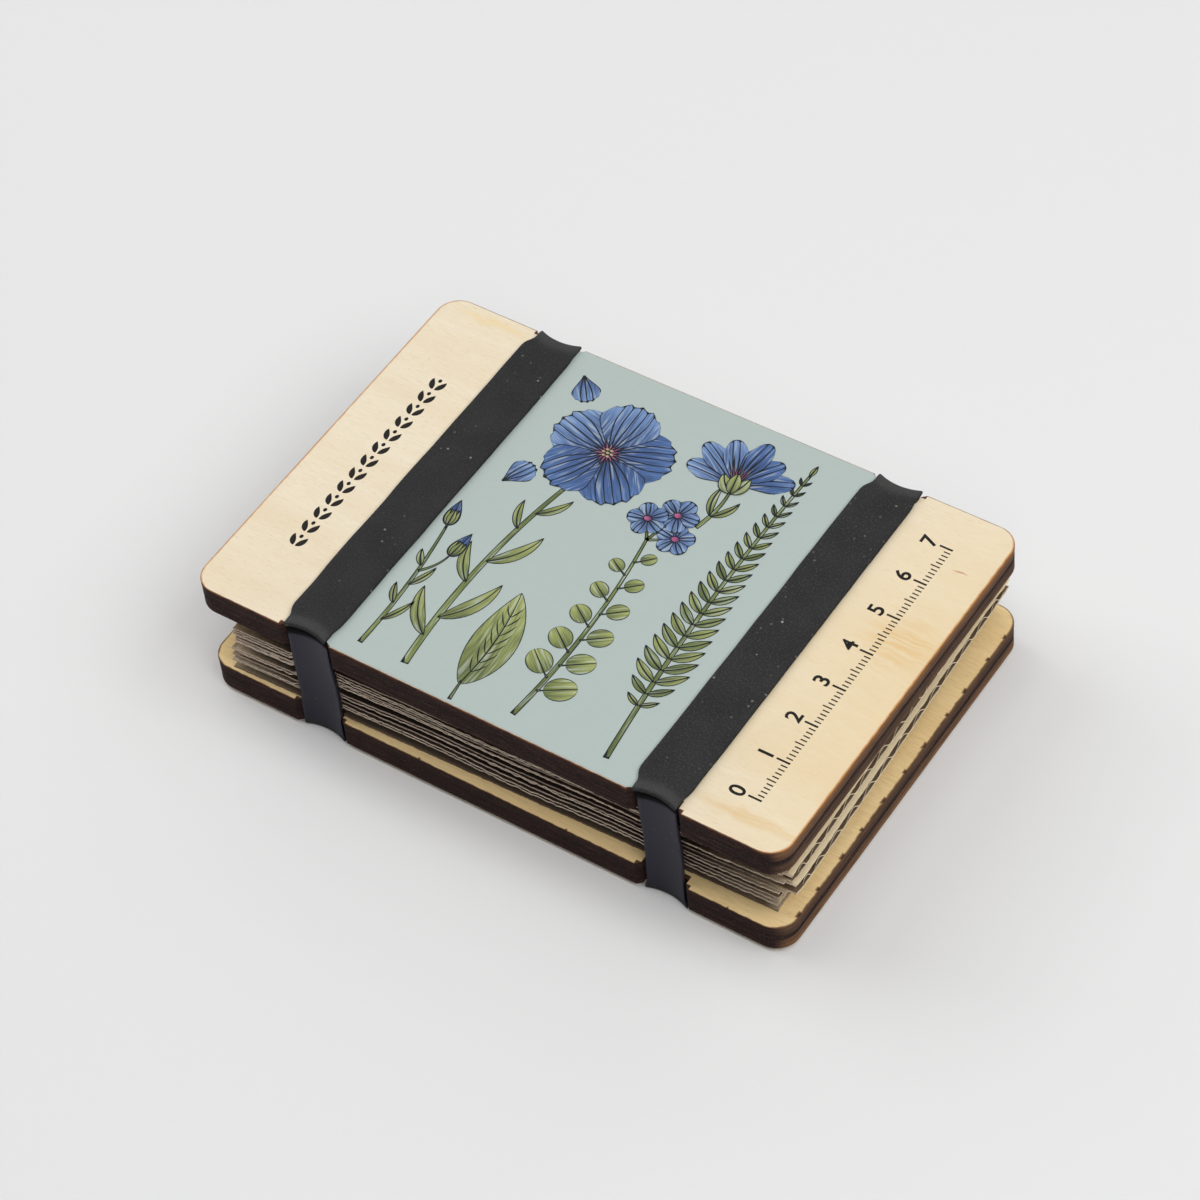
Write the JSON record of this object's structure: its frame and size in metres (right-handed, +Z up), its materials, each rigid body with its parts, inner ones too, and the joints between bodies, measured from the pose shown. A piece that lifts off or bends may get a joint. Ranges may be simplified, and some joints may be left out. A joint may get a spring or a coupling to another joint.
{
  "type": "flower press",
  "caption": "Pocket flower press with notched plywood boards, corrugated cards and blotting sheets stacked between them, held shut by flat rubber bands.",
  "frame": {"origin": "middle of the footprint, on the surface that the press lies on", "axes": "+X along the long edge of the boards, towards the end where the cards stand out; +Y across the press from the near long edge to the far one; +Z up"},
  "size_m": [0.135, 0.09, 0.032],
  "materials": {
    "birch_face": "fine sanded, bare",
    "birch_crossply": "laser-burnt edge",
    "birch_core": "laser-charred edge",
    "panel_ink": "matte print",
    "band_rubber": "matte, dusty",
    "kraft_liner": "grey kraft",
    "kraft_medium": "grey kraft",
    "blotting_paper": "soft, torn edges"
  },
  "bodies": {
    "bottom_board": {"bottom_board_outer_ply": "birch_face", "bottom_board_outer_crossply": "birch_crossply", "bottom_board_core_ply": "birch_core", "bottom_board_inner_crossply": "birch_crossply", "bottom_board_inner_ply": "birch_face", "left_band": "band_rubber", "right_band": "band_rubber"},
    "top_board": {"top_board_outer_ply": "birch_face", "top_board_outer_crossply": "birch_crossply", "top_board_core_ply": "birch_core", "top_board_inner_crossply": "birch_crossply", "top_board_inner_ply": "birch_face", "printed_panel": "panel_ink"},
    "card_1": {"card_1_lower_liner": "kraft_liner", "card_1_flutes": "kraft_medium", "card_1_upper_liner": "kraft_liner"},
    "sheet_1": {"blotting_sheet_1": "blotting_paper"},
    "sheet_2": {"blotting_sheet_2": "blotting_paper"},
    "card_2": {"card_2_lower_liner": "kraft_liner", "card_2_flutes": "kraft_medium", "card_2_upper_liner": "kraft_liner"},
    "sheet_3": {"blotting_sheet_3": "blotting_paper"},
    "sheet_4": {"blotting_sheet_4": "blotting_paper"},
    "card_3": {"card_3_lower_liner": "kraft_liner", "card_3_flutes": "kraft_medium", "card_3_upper_liner": "kraft_liner"},
    "sheet_5": {"blotting_sheet_5": "blotting_paper"},
    "sheet_6": {"blotting_sheet_6": "blotting_paper"},
    "card_4": {"card_4_lower_liner": "kraft_liner", "card_4_flutes": "kraft_medium", "card_4_upper_liner": "kraft_liner"},
    "sheet_7": {"blotting_sheet_7": "blotting_paper"},
    "sheet_8": {"blotting_sheet_8": "blotting_paper"},
    "card_5": {"card_5_lower_liner": "kraft_liner", "card_5_flutes": "kraft_medium", "card_5_upper_liner": "kraft_liner"}
  },
  "joints": [
    {"name": "top_board_lift", "type": "slide", "parent": "bottom_board", "child": "top_board", "axis": [0, 0, 1], "range_m": [0, 0.028], "stiffness_N_per_m": 400, "springref_m": -0.003, "deforming": ["left_band", "right_band"]},
    {"name": "card_1_lift", "type": "slide", "parent": "bottom_board", "child": "card_1", "axis": [0, 0, 1], "range_m": [0, 0.002]},
    {"name": "sheet_1_lift", "type": "slide", "parent": "bottom_board", "child": "sheet_1", "axis": [0, 0, 1], "range_m": [0, 0.004]},
    {"name": "sheet_2_lift", "type": "slide", "parent": "bottom_board", "child": "sheet_2", "axis": [0, 0, 1], "range_m": [0, 0.006]},
    {"name": "card_2_lift", "type": "slide", "parent": "bottom_board", "child": "card_2", "axis": [0, 0, 1], "range_m": [0, 0.008]},
    {"name": "sheet_3_lift", "type": "slide", "parent": "bottom_board", "child": "sheet_3", "axis": [0, 0, 1], "range_m": [0, 0.01]},
    {"name": "sheet_4_lift", "type": "slide", "parent": "bottom_board", "child": "sheet_4", "axis": [0, 0, 1], "range_m": [0, 0.012]},
    {"name": "card_3_lift", "type": "slide", "parent": "bottom_board", "child": "card_3", "axis": [0, 0, 1], "range_m": [0, 0.014]},
    {"name": "sheet_5_lift", "type": "slide", "parent": "bottom_board", "child": "sheet_5", "axis": [0, 0, 1], "range_m": [0, 0.016]},
    {"name": "sheet_6_lift", "type": "slide", "parent": "bottom_board", "child": "sheet_6", "axis": [0, 0, 1], "range_m": [0, 0.018]},
    {"name": "card_4_lift", "type": "slide", "parent": "bottom_board", "child": "card_4", "axis": [0, 0, 1], "range_m": [0, 0.02]},
    {"name": "sheet_7_lift", "type": "slide", "parent": "bottom_board", "child": "sheet_7", "axis": [0, 0, 1], "range_m": [0, 0.022]},
    {"name": "sheet_8_lift", "type": "slide", "parent": "bottom_board", "child": "sheet_8", "axis": [0, 0, 1], "range_m": [0, 0.024]},
    {"name": "card_5_lift", "type": "slide", "parent": "bottom_board", "child": "card_5", "axis": [0, 0, 1], "range_m": [0, 0.026]}
  ],
  "couplings": [
    {"joint": "card_1_lift", "follows": "top_board_lift", "ratio": 0.071429},
    {"joint": "sheet_1_lift", "follows": "top_board_lift", "ratio": 0.14286},
    {"joint": "sheet_2_lift", "follows": "top_board_lift", "ratio": 0.21429},
    {"joint": "card_2_lift", "follows": "top_board_lift", "ratio": 0.28571},
    {"joint": "sheet_3_lift", "follows": "top_board_lift", "ratio": 0.35714},
    {"joint": "sheet_4_lift", "follows": "top_board_lift", "ratio": 0.42857},
    {"joint": "card_3_lift", "follows": "top_board_lift", "ratio": 0.5},
    {"joint": "sheet_5_lift", "follows": "top_board_lift", "ratio": 0.57143},
    {"joint": "sheet_6_lift", "follows": "top_board_lift", "ratio": 0.64286},
    {"joint": "card_4_lift", "follows": "top_board_lift", "ratio": 0.71429},
    {"joint": "sheet_7_lift", "follows": "top_board_lift", "ratio": 0.78571},
    {"joint": "sheet_8_lift", "follows": "top_board_lift", "ratio": 0.85714},
    {"joint": "card_5_lift", "follows": "top_board_lift", "ratio": 0.92857}
  ]
}
